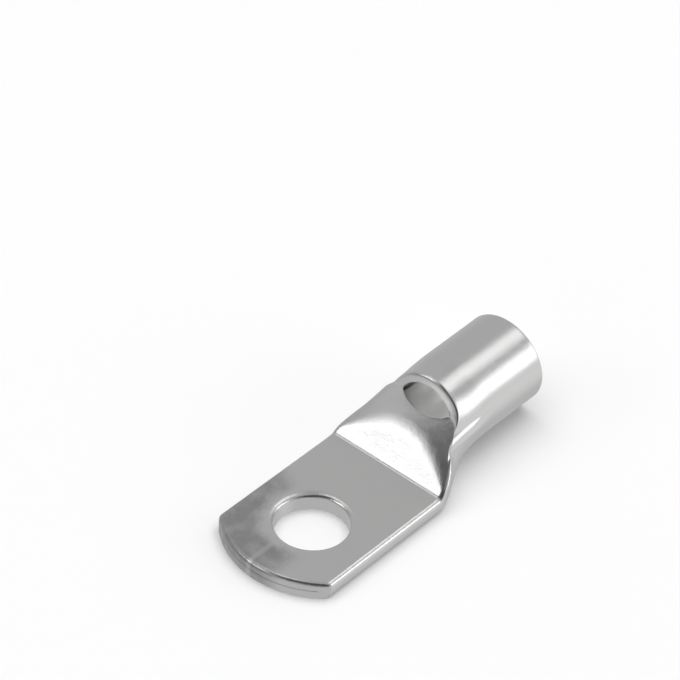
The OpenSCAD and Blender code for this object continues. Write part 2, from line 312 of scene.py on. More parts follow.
    def low_path(self, x, c, half, w, bottom, top, corner_top):
        """Over the flat bottom, round the corner and up the side.

        Near the palm each of the three has its own columns. They spread evenly toward the barrel.
        """
        flat = half - w
        h = corner_top - bottom
        arc = math.pi / 4 * (w + h)
        side = top - corner_top
        low = c["low"]
        own = clamp(low / CORNER_FROM) * flat
        own = own + clamp((low - CORNER_FROM) / (SIDE_FROM - CORNER_FROM)) * arc
        own = own + clamp((low - SIDE_FROM) / (1 - SIDE_FROM)) * side
        run = mix(own, low * (flat + arc + side), self.toward_round(x))
        a = clamp((run - flat) / arc) * (math.pi / 2)
        y = least(run, flat) + w * np.sin(a)
        z = bottom + h * (1 - np.cos(a)) + most(run - flat - arc, 0.0)
        return y, z

    def ramp_half(self, x, c):
        """Outside of the palm and the dish: low path, side fold, shoulder and lip."""
        fw, fh = self.fold_w(x), self.fold_h(x)
        half = self.half_w(x)
        xs = least(x, self.rim_x)
        ridge_y = self.half_w(xs) - self.fold_w(xs)
        ridge = self.dish_z(xs, without(c, "lip"), ridge_y)
        y, z = self.low_path(x, c, half, self.corner_w(x), 0.0, ridge - fh, self.corner_h(x))
        turn = mix(math.pi / 2, self.fold_turn, self.along(x))
        a = c["fold"] * turn
        share = across(c, 1.0, self.window_share, 0.0)
        y = y - fw * (1 - np.cos(a)) / (1 - np.cos(turn)) - (half - fw) * (1 - share)
        z = z + fh * np.sin(a) / np.sin(turn) + self.dish_z(xs, c, ridge_y * share) - ridge
        return y, z

    def oval(self, x, a, side, top):
        """Half width of the upper half at an angle above the axis, as wide as the side at 0."""
        s = np.sin(a)
        return np.cos(a) * mix(top, mix(side, top, s * (2 - s)), self.runout(x))

    def with_arch(self, x, c, y, z, a, side, r):
        """A half ring whose columns past the fold lie on the arch."""
        past_fold = np.sign(c["shoulder"])
        arch_z = self.axis_z + r * np.sin(a)
        return mix(y, self.oval(x, a, side, r), past_fold), mix(z, arch_z, past_fold)

    def run_half(self, x, c, rolled=0.0):
        """Outside of the barrel, drawn in at the rolled edge of the rim."""
        y, z = self.ramp_half(x, without(c, "shoulder", "lip"))
        side, r = self.half_w(x), self.arch_r(x)
        a = self.fold_a * c["fold"]
        turned = self.runout(x) * np.sign(c["fold"])
        y = mix(y, self.oval(x, a, side, r), turned)
        z = mix(z, self.axis_z + r * np.sin(a), turned)
        a = across(c, self.fold_a, self.window_a, math.pi / 2)
        r = r - rolled * smooth((a - self.fold_a) / OUTER_FADE)
        return self.with_arch(x, c, y, z, a, side, r)

    def hollow_low(self, x, c):
        """Low path of the hollow and the bore."""
        w = most(self.corner_w(x) - self.wall_t(x), self.hollow_corner)
        side = self.hollow_side_z(x)
        return self.low_path(x, c, self.hollow_w(x), w, self.wall_t(x), side, side)

    def hollow_half(self, x, c):
        """Inside of the dish, from the crease to the rim."""
        y, z = self.hollow_low(x, c)
        a = self.fold_a * c["fold"]
        y = y * (np.cos(a) * mix(1.0, self.rim_bore_r / self.hollow_rim_w, c["fold"]))
        z = mix(z, self.hollow_edge_z(x), np.sin(a) / np.sin(self.fold_a))
        share = across(c, self.hollow_edge, self.hollow_window, 0.0)
        top = self.dish_z(x, c, self.hollow_w(x) * share) - self.wall_t(x)
        ceiling = mix(top, self.hollow_edge_z(x), (share / self.hollow_edge) ** CEILING_POWER)
        past_fold = np.sign(c["shoulder"])
        return mix(y, self.hollow_w(x) * share, past_fold), mix(z, ceiling, past_fold)

    def bore_half(self, x, c, rolled=0.0):
        """Inside of the barrel, opened at the inner edge of the rim."""
        y, z = self.hollow_low(x, c)
        side, r = self.hollow_w(x), self.arch_r(x) - self.wall
        a = self.fold_a * c["fold"]
        turned = np.sign(c["fold"])
        at_rim = np.cos(a) * mix(side, r, c["fold"])
        y = mix(y, mix(at_rim, self.oval(x, a, side, r), self.runout(x)), turned)
        z = mix(z, self.axis_z + r * np.sin(a), turned)
        a = across(c, self.fold_a, self.window_a, math.pi / 2)
        r = r + rolled * smooth((a - self.window_a) / INNER_FADE)
        return self.with_arch(x, c, y, z, a, side, r)

    def placed(self, x, c, yz, back=0.0):
        """A ring's points, moved back along the lug, with their station as a fourth value."""
        x, y, z, back = np.broadcast_arrays(x, *yz, back)
        return np.stack([x - back, c["side"] * y, z, x], axis=-1)

    # The free end, seen from above

    def end_corner(self):
        """Centre of the arc that rounds the corner, between the end arc and the straight side."""
        slope = self.palm_flare / (self.palm_end + self.crease_x)
        centre_x = self.end_arc_r - self.palm_end
        r = self.end_corner_r
        # The centre's y is a - slope * x, and it lies on an arc of end_arc_r - r
        a = self.palm_w / 2 + self.crease_x * slope - r * math.hypot(1, slope)
        b = centre_x + a * slope
        c = centre_x**2 + a * a - (self.end_arc_r - r) ** 2
        x = (b - math.sqrt(b * b - (1 + slope**2) * c)) / (1 + slope**2)
        return x, a - slope * x

    def end_x(self, y):
        """Where the free end lies at a half width."""
        centre_x, r = self.end_arc_r - self.palm_end, self.end_corner_r
        cx, cy = self.end_corner()
        touch_y = cy * self.end_arc_r / (self.end_arc_r - r)
        arc = centre_x - np.sqrt(self.end_arc_r**2 - least(y, touch_y) ** 2)
        corner = cx - np.sqrt(most(r * r - most(y - cy, 0.0) ** 2, 0.0))
        return np.where(y < touch_y, arc, corner)


# ---------------------------------------------------------------- the skin


class Skin:
    """Collects patches of points and joins them into one closed mesh."""

    def __init__(self):
        self.points = []
        self.faces = []
        self.count = 0

    def patch(self, rows, flip=False, closed=True, columns=None):
        """Add a strip of faces between each row of points and the next."""
        rows = np.array(rows)
        n, m = rows.shape[:2]
        self.points.append(rows.reshape(-1, 4))
        i, j = np.meshgrid(np.arange(n - 1), np.arange(m if closed else m - 1), indexing="ij")
        if columns is not None:
            keep = np.isin(j, columns)
            i, j = i[keep], j[keep]
        k = (j + 1) % m
        quad = np.stack([i * m + j, i * m + k, (i + 1) * m + k, (i + 1) * m + j], axis=-1)
        quad = quad.reshape(-1, 4)
        if flip:
            quad = quad[:, ::-1]
        self.faces.append(quad + self.count)
        self.count += n * m

    def mesh(self, name):
        """Weld the points that coincide, drop the faces that close up and keep the stations."""
        points = np.concatenate(self.points)
        key = np.round(points[:, :3] / WELD).astype(np.int64)
        _, first, inverse = np.unique(key, axis=0, return_index=True, return_inverse=True)
        faces = []
        for quad in inverse.ravel()[np.concatenate(self.faces)]:
            face = [v for n, v in enumerate(quad) if v != quad[n - 1]]
            if len(face) > 2:
                faces.append(face)
        used = np.unique(np.concatenate(faces))
        place = np.full(len(first), -1)
        place[used] = np.arange(len(used))
        points = points[first][used]
        mesh = bpy.data.meshes.new(name)
        mesh.from_pydata(points[:, :3].tolist(), [], [place[face].tolist() for face in faces])
        station = mesh.attributes.new("station", "FLOAT", "POINT")
        station.data.foreach_set("value", points[:, 3].astype(np.float32))
        return mesh


def add_palm_and_dish(skin, lug, c, lip_edge):
    """Outside from the seam on the free end to the rim; gives the row at the rim."""
    edge = mix(lug.edge_r, lug.end_roll_r, c["fold"])
    corner_x = lug.end_corner()[0]
    end_y, end_z = lug.ramp_half(corner_x, c)
    mid = lug.palm_t / 2
    core = lug.half_w(corner_x) - mid

    def end_row(share, back=0.0):
        """The outline of the free end, drawn in toward the seam and set back along the lug."""
        y = np.where(end_y > core, core + (end_y - core) * share, end_y)
        return lug.placed(lug.end_x(y) + back, c, (y, mid + (end_z - mid) * share))

    def ramp_row(x, back=0.0):
        return lug.placed(x, c, lug.ramp_half(x, c), lug.set_back(x, c) + back)

    seam = lug.seam_gap / lug.palm_t
    rows = [end_row(seam, lug.seam_depth), end_row(seam, lug.edge_r * SEAM_EDGE)]
    for f in np.linspace(0, 1, END_RINGS):
        rows.append(end_row(mix(seam * SEAM_OPENING, 1 - 2 * edge / lug.palm_t, f)))
    for sin, cos in quarter_turn(END_EDGE)[1:]:
        rows.append(end_row(1 - 2 * edge * (1 - sin) / lug.palm_t, edge * (1 - cos)))
    stop = lug.crease_x + CREASE_RINGS[0] * MM
    for s in (*FIRST_RINGS, *np.linspace(FIRST_RINGS[-1], 1, PALM_RINGS)[1:]):
        y, z = lug.ramp_half(mix(corner_x, stop, s), c)
        rows.append(lug.placed(mix(lug.end_x(y) + edge, stop, s), c, (y, z)))
    for d in CREASE_RINGS[1:-1]:
        rows.append(ramp_row(lug.crease_x + d * MM))
    dish_x = lug.crease_x + CREASE_RINGS[-1] * MM
    rows += [ramp_row(x) for x in np.linspace(dish_x, lug.rim_x, DISH_RINGS)[:-1]]
    rows.append(ramp_row(lug.rim_x, lip_edge))
    skin.patch(rows)
    skin.patch([rows[0][LOWER], rows[0][UPPER]], flip=True, closed=False)
    return rows[-1]


def add_barrel(skin, lug, c):
    """Outside from the rim into the open end; gives the rows at the rim and inside the mouth."""
    roll, outer, inner = lug.rim_roll, lug.mouth_outer_chamfer, lug.mouth_inner_chamfer
    mouth_y, mouth_z = lug.run_half(lug.mouth_x, c)

    def run_row(x, rolled=0.0):
        return lug.placed(x, c, lug.run_half(x, c, rolled))

    def mouth_row(x, r):
        k = r / lug.barrel_r
        return lug.placed(x, c, (mouth_y * k, lug.axis_z + (mouth_z - lug.axis_z) * k))

    rows = []
    for sin, cos in quarter_turn(RIM_EDGE):
        rows.append(run_row(lug.rim_x + roll * (1 - cos), roll * (1 - sin)))
    rows += [run_row(x) for x in np.linspace(lug.rim_x + roll, lug.round_x, RUNOUT_RINGS)[1:]]
    rows += [run_row(x) for x in np.linspace(lug.round_x, lug.mouth_x - outer, BARREL_RINGS)[1:]]
    for sin, cos in quarter_turn(MOUTH_EDGE)[1:]:
        rows.append(mouth_row(lug.mouth_x - outer * (1 - sin), lug.barrel_r - outer * (1 - cos)))
    for f in THROUGH_WALL[1:]:
        rows.append(mouth_row(lug.mouth_x, mix(lug.barrel_r - outer, lug.bore_r + inner, f)))
    for f in np.linspace(0, 1, SMALL_EDGE)[1:]:
        rows.append(mouth_row(lug.mouth_x - inner * f, lug.bore_r + inner * (1 - f)))
    skin.patch(rows)
    return rows[0], rows[-1]


def add_hollow(skin, lug, c, lip_edge):
    """Inside of the dish; gives the row at the rim."""

    def hollow_row(x, back=0.0):
        return lug.placed(x, c, lug.hollow_half(x, c), lug.set_back(x, c) + back)

    start = mix(lug.crease_x, lug.rim_x, HOLLOW_FROM)
    rows = [hollow_row(x) for x in np.linspace(start, lug.rim_x, HOLLOW_RINGS)[:-1]]
    rows.append(hollow_row(lug.rim_x, lip_edge))
    skin.patch([rows[0][LOWER], rows[0][UPPER]], closed=False)
    skin.patch(rows, flip=True)
    return rows[-1]


def add_bore(skin, lug, c, inner_edge, rim_dish, rim_hollow, mouth_end):
    """Inside of the barrel; gives the row at the rim, joined to the hollow and the corners."""

    def bore_row(x, back=0.0):
        return lug.placed(x, c, lug.bore_half(x, c), back)

    inside_x = lug.mouth_x - lug.mouth_inner_chamfer
    rim_bore = bore_row(lug.rim_x, -inner_edge)
    rim_bore[: FOLD_END + 1] = rim_hollow[: FOLD_END + 1]
    rim_bore[RING - FOLD_END :] = rim_hollow[RING - FOLD_END :]
    rim_bore[CORNERS] = rim_dish[CORNERS]
    rows = [rim_bore]
    rows += [bore_row(x) for x in np.linspace(lug.rim_x, lug.round_x, BORE_RUNOUT_RINGS)[1:]]
    rows += [bore_row(x) for x in np.linspace(lug.round_x, inside_x, BORE_RINGS)[1:-1]]
    rows.append(mouth_end)
    skin.patch(rows, flip=True)
    return rim_bore


def add_arch_face(skin, lug, c, inner_edge, rim_dish, rim_outside, rim_bore):
    """The sheared face of the arch, from its inner edge to the rolled outer edge."""

    def face_row(rolled, back=0.0):
        row = lug.placed(lug.rim_x, c, lug.bore_half(lug.rim_x, c, rolled), back)
        row[CORNERS] = rim_dish[CORNERS]
        return row

    rows = [rim_bore]
    for sin, _ in quarter_turn(SMALL_EDGE)[1:-1]:
        rows.append(face_row(lug.inner_edge_r * sin, -inner_edge * (1 - sin)))
    face = face_row(lug.inner_edge_r)
    rows += [mix(face, rim_outside, f) for f in THROUGH_WALL]
    skin.patch(rows, columns=LIP_COLUMNS)


def add_lip_end(skin, lug, c, lip_edge, rim_dish, rim_hollow):
    """The free end of the lip, with its upper and lower edge rounded."""
    top_y, top_z = lug.ramp_half(lug.rim_x, c)
    low_y, low_z = lug.hollow_half(lug.rim_x, c)
    back = lug.set_back(lug.rim_x, c)

    def lip_row(y, z, more_back=0.0):
        return lug.placed(lug.rim_x, c, (y, z), back + more_back)

    rows = [rim_dish]
    for sin, cos in quarter_turn(LIP_TOP_EDGE)[1:]:
        rows.append(lip_row(top_y, top_z - lip_edge * (1 - cos), lip_edge * (1 - sin)))
    for f in THROUGH_WALL[1:-1]:
        rows.append(lip_row(mix(top_y, low_y, f), mix(top_z - lip_edge, low_z + lip_edge, f)))
    for sin, cos in quarter_turn(SMALL_EDGE)[:-1]:
        rows.append(lip_row(low_y, low_z + lip_edge * (1 - sin), lip_edge * (1 - cos)))
    rows.append(rim_hollow)
    skin.patch(rows, columns=LIP_COLUMNS)


def build_skin(lug):
    """The whole tube before the press shifts its rim and punches its hole."""
    c = column_shares()
    skin = Skin()
    rounding = smooth(c["lip"] / LIP_EDGE_REACH)
    lip_edge, inner_edge = lug.lip_edge_r * rounding, lug.inner_edge_r * rounding
    rim_dish = add_palm_and_dish(skin, lug, c, lip_edge)
    rim_outside, mouth_end = add_barrel(skin, lug, c)
    rim_hollow = add_hollow(skin, lug, c, lip_edge)
    rim_bore = add_bore(skin, lug, c, inner_edge, rim_dish, rim_hollow, mouth_end)
    # The sheared steps beside the window
    above = [mix(rim_dish, rim_outside, f) for f in THROUGH_WALL]
    below = [mix(rim_hollow, rim_bore, f) for f in THROUGH_WALL]
    skin.patch(above, columns=STEP_COLUMNS)
    skin.patch(below, flip=True, columns=STEP_COLUMNS)
    add_arch_face(skin, lug, c, inner_edge, rim_dish, rim_outside, rim_bore)
    add_lip_end(skin, lug, c, lip_edge, rim_dish, rim_hollow)
    return skin


# ---------------------------------------------------------------- node expressions


class Field:
    """A node's output that takes part in Python arithmetic, which adds Math nodes."""

    def __init__(self, tree, socket):
        self.tree = tree
        self.socket = socket

    def math(self, operation, *values):
        """A Math node of any operation on the given values."""
        return self.tree.node("ShaderNodeMath", {"operation": operation}, dict(enumerate(values)))

    def __add__(self, other):
        return self.math("ADD", self, other)

    def __sub__(self, other):
        return self.math("SUBTRACT", self, other)

    def __rsub__(self, other):
        return self.math("SUBTRACT", other, self)

    def __mul__(self, other):
        return self.math("MULTIPLY", self, other)

    def __truediv__(self, other):
        return self.math("DIVIDE", self, other)

    def __rtruediv__(self, other):
        return self.math("DIVIDE", other, self)

    def __pow__(self, other):
        return self.math("POWER", self, other)

    __radd__ = __add__
    __rmul__ = __mul__

    def clamp(self):
        """The value held between 0 and 1."""
        clamped = {"operation": "MULTIPLY", "use_clamp": True}
        return self.tree.node("ShaderNodeMath", clamped, {0: self, 1: 1.0})

    def between(self, low, high):
        """0 at low, 1 at high and smooth between them."""
        return self.tree.node(
            "ShaderNodeMapRange",
            {"interpolation_type": "SMOOTHSTEP"},
            {"Value": self, "From Min": low, "From Max": high},
        )


class Nodes:
    """A node tree that is filled by expressions."""

    def __init__(self, tree):
        self.tree = tree
        self.nodes = tree.nodes
        self.links = tree.links
        self.nodes.clear()

    def node(self, kind, settings=None, inputs=None, output=0):
        """Add a node, set its settings, then set or link its sockets; gives one output."""
        made = self.nodes.new(kind)
        for name, value in (settings or {}).items():
            setattr(made, name, value)
        for key, value in (inputs or {}).items():
            socket = made.inputs[key]
            if isinstance(value, Field):
                self.links.new(value.socket, socket)
            else:
                socket.default_value = value
        return Field(self, made.outputs[output])

    def split(self, vector):
        return [
            self.node("ShaderNodeSeparateXYZ", inputs={"Vector": vector}, output=axis)
            for axis in range(3)
        ]

    def join(self, x, y, z):
        return self.node("ShaderNodeCombineXYZ", inputs={"X": x, "Y": y, "Z": z})

    def noise(self, place, scale, detail=3.0, roughness=0.6):
        return self.node(
            "ShaderNodeTexNoise",
            {"noise_dimensions": "3D"},
            {"Vector": place, "Scale": scale, "Detail": detail, "Roughness": roughness},
        )

    def finish(self, kind, value):
        """Add the tree's output node and link a value to its first socket."""
        self.links.new(value.socket, self.nodes.new(kind).inputs[0])


class Recipe(Nodes):
    """A Geometry Nodes tree with named inputs and the values they take on a modifier."""

    def __init__(self, name):
        super().__init__(bpy.data.node_groups.new(name, "GeometryNodeTree"))
        for way in ("OUTPUT", "INPUT"):
            self.tree.interface.new_socket(
                "Geometry", in_out=way, socket_type="NodeSocketGeometry"
            )
        self.given = self.nodes.new("NodeGroupInput")
        self.geometry = Field(self, self.given.outputs["Geometry"])
        self.values = {}

    def input(self, name, value, kind="NodeSocketFloat"):
        """Add a named input and note the value that a modifier gives it."""
        socket = self.tree.interface.new_socket(name, in_out="INPUT", socket_type=kind)
        self.values[socket.identifier] = value
        return Field(self, self.given.outputs[name])

    def apply(self, obj):
        """Run the tree on an object, keep the result as its plain mesh and remove the modifier."""
        modifier = obj.modifiers.new(self.tree.name, "NODES")
        modifier.node_group = self.tree
        for identifier, value in self.values.items():
            modifier[identifier] = value
        depsgraph = bpy.context.evaluated_depsgraph_get()
        mesh = bpy.data.meshes.new_from_object(obj.evaluated_get(depsgraph))
        obj.modifiers.remove(modifier)
        obj.data = mesh
        return mesh


# Features per metre of the tin's patterns. The drawing lines are stretched along the tube.
CLOUD, MOTTLE, GRAIN, SPECK = 240.0, 420.0, 3600.0, 9000.0
DRAWING_LINES = (140.0, 2400.0, 2400.0)
BUMP_STRENGTH, BUMP_DEPTH = 0.5, 0.045 * MM


def stained_share(x, y, cloud, mottle):
    """Where the free end is dull: on its -Y side, clear of the bolt hole, with a clean streak."""
    radius = (x * x + y * y) ** 0.5
    off_streak = y - 0.8 * MM
    end_side = (0.5 * MM - x + y * 0.35 + cloud * (4 * MM)).between(0.0, 4.5 * MM)
    off_hole = (radius + mottle * (1.6 * MM)).between(5.6 * MM, 7.4 * MM)
    streak = 1 - ((off_streak * off_streak) ** 0.5).between(0.1 * MM, 0.5 * MM)
    low_side = (y + 0.5 * MM).between(-3.2 * MM, 0.0)
    patchy = mottle.between(0.25, 0.65) * 0.5 + 0.5
    return end_side * off_hole * low_side * (1 - streak * 0.5) * patchy


def tinned_copper(tin, stain):
    """Tin plate over drawn copper: grain in three sizes, drawing lines and a cloudy stain."""
    material = bpy.data.materials.new("tinned_copper")
    material.use_nodes = True
    s = Nodes(material.node_tree)
    place = s.node("ShaderNodeTexCoord", output="Object")
    x, y, _ = s.split(place)
    cloud = s.noise(place, CLOUD)
    grain = s.noise(place, GRAIN, detail=2.0)
    speck = s.noise(place, SPECK, detail=1.0, roughness=0.5)
    stretch = {"Vector": place, "Scale": DRAWING_LINES}
    line = s.noise(s.node("ShaderNodeMapping", {"vector_type": "POINT"}, stretch), 1.0)
    stained = stained_share(x, y, cloud, s.noise(place, MOTTLE))

    # The patterns by their weight, on top of a base value
    bright = cloud * 0.12 + grain * 0.10 + speck * 0.06 + line * 0.06 + 0.83
    rough = cloud * 0.10 + grain * 0.08 + stained * 0.12 + 0.13
    height = grain * 0.5 + speck * 0.55 + line * 0.3
    dull = (stained * 0.80 + (1 - bright).clamp()).clamp()
    # A Mix node's sockets share names, so its factor, its two colours and its result go by number
    blend = {"data_type": "RGBA", "blend_type": "MIX"}
    color = s.node("ShaderNodeMix", blend, {0: dull, 6: tuple(tin), 7: tuple(stain)}, output=2)
    bump = {"Strength": BUMP_STRENGTH, "Distance": BUMP_DEPTH, "Height": height}
    normal = s.node("ShaderNodeBump", inputs=bump)
    metal = {"Base Color": color, "Metallic": 1.0, "Roughness": rough, "Normal": normal}
    s.finish("ShaderNodeOutputMaterial", s.node("ShaderNodeBsdfPrincipled", inputs=metal))
    return material


# ---------------------------------------------------------------- sizes and operators


def number(name, default, description, **settings):
    return bpy.props.FloatProperty(name=name, default=default, description=description, **settings)


def length(name, mm, description):
    return number(name, mm * MM, description, unit="LENGTH", precision=5)


def angle(name, degrees, description):
    return number(name, math.radians(degrees), description, subtype="ANGLE")


def tint(name, rgb, description):
    return bpy.props.FloatVectorProperty(
        name=name, default=(*rgb, 1.0), description=description, subtype="COLOR", size=4
    )


class LugSizes(bpy.types.PropertyGroup):
    """Sizes and finish of the lug"""

    palm_w: length("Palm Width", 16.0, "Width of the palm at the crease")
    palm_flare: length("Palm Flare", 0.15, "Extra half width at the free end")
    palm_t: length("Palm Thickness", 2.1, "Two tube walls pressed together")
    end_arc_r: length("End Arc Radius", 11.4, "Arc that cuts the free end")
    end_corner_r: length("End Corner Radius", 0.8, "Corners of the free end")
    lower_edge_r: length("Lower Edge Radius", 1.0, "Lower long edges of the palm")
    upper_edge_r: length("Upper Edge Radius", 0.6, "Upper long edges of the palm")
    edge_r: length("Cut Edge Radius", 0.12, "Lower edge of the cut free end")
    end_roll_r: length("End Roll", 0.6, "Rolled upper edge of the cut free end")
    seam_gap: length("Seam Gap", 0.06, "Seam between the walls on the end face")
    seam_depth: length("Seam Depth", 0.15, "Depth of the seam into the end face")
    bolt_hole_d: length("Bolt Hole", 8.4, "Diameter of the bolt hole")
    hole_roll_w: length("Hole Roll Width", 0.8, "Width of the bolt hole's rolled upper edge")
    hole_roll_h: length("Hole Roll Height", 0.5, "Height of the bolt hole's rolled upper edge")
    bore_d: length("Bore", 8.5, "Inside diameter of the barrel")
    mouth_outer_chamfer: length("Outer Chamfer", 0.2, "Outer edge of the open end")
    mouth_inner_chamfer: length("Inner Chamfer", 0.3, "Inner edge of the open end")
    crease_x: length("Crease", 12.3, "From the bolt hole to the crease")
    crease_r: length("Crease Softness", 0.22, "How softly the crease turns")
    ramp_l: length("Ramp", 5.9, "From the crease to the sheared rim")
    runout_l: length("Run-out", 5.5, "From the rim to where the arch is round")
    taper_l: length("Taper", 17.0, "From the crease to where the sides are round")
    rim_sweep: length("Rim Sweep", 1.0, "How far the rim's end on -Y runs toward the palm")
    sweep_h: length("Sweep Height", 2.4, "Height over which the rim's end sweeps")
    window_w: length("Window Width", 6.8, "Clear width of the inspection window")
    lip_setback: length("Lip Setback", 1.0, "How far the lip's middle is drawn back")
    arch_drop: length("Arch Drop", 0.22, "How much the arch is pressed down")
    rim_roll: length("Rim Roll", 0.35, "Rolled outer edge of the rim")
    lip_edge_r: length("Lip Edge Radius", 0.3, "Edges of the lip")
    inner_edge_r: length("Rim Inner Edge", 0.08, "Inner edge of the sheared rim")
    hollow_corner: length("Hollow Corner", 0.3, "Smallest corner of the hollow")
    rim_lean: number("Rim Lean", 0.175, "Run per rise of the rim")
    taper_power: number("Taper Power", 6.0, "How fast the sides draw in")
    fold_turn: angle("Fold Turn", 50, "Turn of the side fold at the rim")
    facet_slope: number("Facet Slope", 1.13, "Rise per run of the facet")
    shoulder_slope: number("Shoulder Slope", 0.70, "Rise per run of the shoulders beside the facet")
    shoulder_bend: number("Shoulder Bend", 0.69, "How the shoulders curve down to the folds")
    shoulder_soft: number("Shoulder Softness", 0.16, "Reach per run of the facet's side creases")
    spine_soft: number("Spine Softness", 0.3, "Reach per run of the crease between the shoulders")
    tin: tint("Tin", (0.84, 0.84, 0.835), "Colour of the tin plate")
    stain: tint("Stain", (0.38, 0.38, 0.38), "Colour of dull tin")

    @classmethod
    def label(cls, name):
        return cls.bl_rna.properties[name].name

    def shape(self):
        """The sizes of the skin, with those that the CAD box gives."""
        other = ("bolt_hole_d", "hole_roll_w", "hole_roll_h", "bore_d", "tin", "stain")
        own = {name: getattr(self, name) for name in self.__annotations__ if name not in other}
        own["bore_r"] = self.bore_d / 2
        own["barrel_r"] = (CAD_HIGH.z - CAD_LOW.z) / 2
        own["mouth_x"] = CAD_HIGH.x
        own["palm_end"] = -CAD_LOW.x
        return Lug(own)


# The punch is a drum of this many sides. Its rings run straight up, round the rolled edge, which
# stops short of a full quarter turn, and then open by shares of the roll's width.
PUNCH_SIDES, ROLL_RINGS = 160, 12
PUNCH_RINGS = ROLL_RINGS + 2
ROLL_TURN = math.pi / 2 - 0.12
OPEN_OUT, OPEN_UP = 4.0, 0.48
# Sizes of the lug that the press takes as inputs under their own names
PRESS_SIZES = ("crease_x", "crease_r", "ramp_l", "runout_l", "rim_lean", "rim_sweep", "sweep_h")


def press_recipe(lug, sizes, material):
    """The press: move the sheared rim by the lug's own rule, punch the bolt hole and plate."""
    r = Recipe("Press and Punch")
    # A copy of the lug whose sizes are sockets, so that its own rule fills the tree
    pressed = copy.copy(lug)
    for name in PRESS_SIZES:
        setattr(pressed, name, r.input(LugSizes.label(name), getattr(lug, name)))
    pressed.rim_x = r.input("Rim", lug.rim_x)
    pressed.axis_z = r.input("Axis Height", lug.axis_z)
    pressed.near_fold_y = r.input("Fold Half Width", lug.near_fold_y)
    pressed.near_fold_z = r.input("Fold Height", lug.near_fold_z)
    hole_r = r.input("Bolt Hole Radius", sizes.bolt_hole_d / 2)
    roll_w = r.input("Hole Roll Width", sizes.hole_roll_w)
    roll_h = r.input("Hole Roll Height", sizes.hole_roll_h)
    top = r.input("Palm Thickness", lug.palm_t)
    plate = r.input("Plating", material, "NodeSocketMaterial")

    x, y, z = r.split(r.node("GeometryNodeInputPosition"))
    station = r.node("GeometryNodeInputNamedAttribute", {"data_type": "FLOAT"}, {"Name": "station"})
    shift = pressed.shift(station, y.math("ABSOLUTE", y), z, y.math("LESS_THAN", y, 0.0))
    moved = {"Geometry": r.geometry, "Offset": r.join(shift, 0.0, 0.0)}
    body = r.node("GeometryNodeSetPosition", inputs=moved)

    # The drum has a radius and a height of 1, and its rings are drawn into the punch
    size = {"Vertices": PUNCH_SIDES, "Side Segments": PUNCH_RINGS, "Radius": 1.0, "Depth": 1.0}
    drum = r.node("GeometryNodeMeshCylinder", {"fill_type": "NGON"}, size)
    ring = (z + 0.5) * float(PUNCH_RINGS)
    straight, opened = ring.clamp(), (ring - (ROLL_RINGS + 1.0)).clamp()
    turn = ((ring - 1.0) / ROLL_RINGS).clamp() * ROLL_TURN
    radius = hole_r + roll_w * (1 - turn.math("COSINE", turn)) + opened * roll_w * OPEN_OUT
    height = (top - roll_h + MM) * straight - MM + roll_h * turn.math("SINE", turn)
    height = height + opened * roll_w * OPEN_UP
    drawn = {"Geometry": drum, "Position": r.join(x * radius, y * radius, height)}
    punch = r.node("GeometryNodeSetPosition", inputs=drawn)
    exact = {"operation": "DIFFERENCE", "solver": "EXACT"}
    cut = r.node("GeometryNodeMeshBoolean", exact, {"Mesh 1": body, "Mesh 2": punch})
    whole = r.node("GeometryNodeRealizeInstances", inputs={"Geometry": cut})
    plated = r.node("GeometryNodeSetMaterial", inputs={"Geometry": whole, "Material": plate})
    r.finish("NodeGroupOutput", plated)
    return r


# Edges that turn more than this stay sharp
SHARP_ANGLE = math.radians(38)


class LUG_OT_press_tube(bpy.types.Operator):
    """Press the tube into the lug, punch its bolt hole and plate it with tin"""

    bl_idname = "lug.press_tube"
    bl_label = "Pressed Tube"

    def execute(self, context):
        sizes = context.scene.lug_sizes
        lug = sizes.shape()
        plating = tinned_copper(sizes.tin, sizes.stain)
        tube = bpy.data.objects.new("pressed_tube", build_skin(lug).mesh("blank"))
        context.scene.collection.objects.link(tube)
        mesh = press_recipe(lug, sizes, plating).apply(tube)
        mesh.attributes.remove(mesh.attributes["station"])
        mesh.materials.clear()
        mesh.materials.append(plating)
        mesh.shade_smooth()
        mesh.set_sharp_from_angle(angle=SHARP_ANGLE)
        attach(tube, "root")
        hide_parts("cable_lug")
        return {"FINISHED"}


class StageSettings(bpy.types.PropertyGroup):
    """Floor, lights and camera"""

    floor_color: tint("Floor", (0.86, 0.86, 0.86), "Colour of the floor")
    sky: number("Surround", 0.44, "Brightness of the surround")
    underside: number("Underside", 0.50, "Brightness from below")
    paper_light: number("Floor Light", 1.95, "Light for the floor alone")
    azimuth: angle("Azimuth", 39.367, "Heading of the view")
    elevation: angle("Elevation", 41.488, "Height of the camera above the part")
    roll: angle("Roll", 3.03, "Turn of the camera about its view")
    distance: length("Distance", 716.957, "From the camera to the point it aims at")
    lens: number("Lens", 347.89, "Focal length", unit="CAMERA")
    aim: bpy.props.FloatVectorProperty(
        name="Aim",
        description="Point the camera aims at",
        default=(0.014483, 0.009312, 0.013374),
        subtype="TRANSLATION",
        unit="LENGTH",
    )


def toward(azimuth, elevation):
    """The direction of a heading and a height in radians."""
    flat = math.cos(elevation)
    return Vector((math.cos(azimuth) * flat, math.sin(azimuth) * flat, math.sin(elevation)))


# Soft boxes: heading and height in degrees, width and height in metres, radiance
SOFT_BOXES = (
    ("barrel_light", -50, 19, 0.40, 0.26, 0.95),
    ("top_light", -12, 57, 0.26, 0.30, 0.65),
    ("dish_light", 143, 36, 0.26, 0.26, 1.30),
    ("side_light", 100, 66, 0.26, 0.26, 0.55),
)

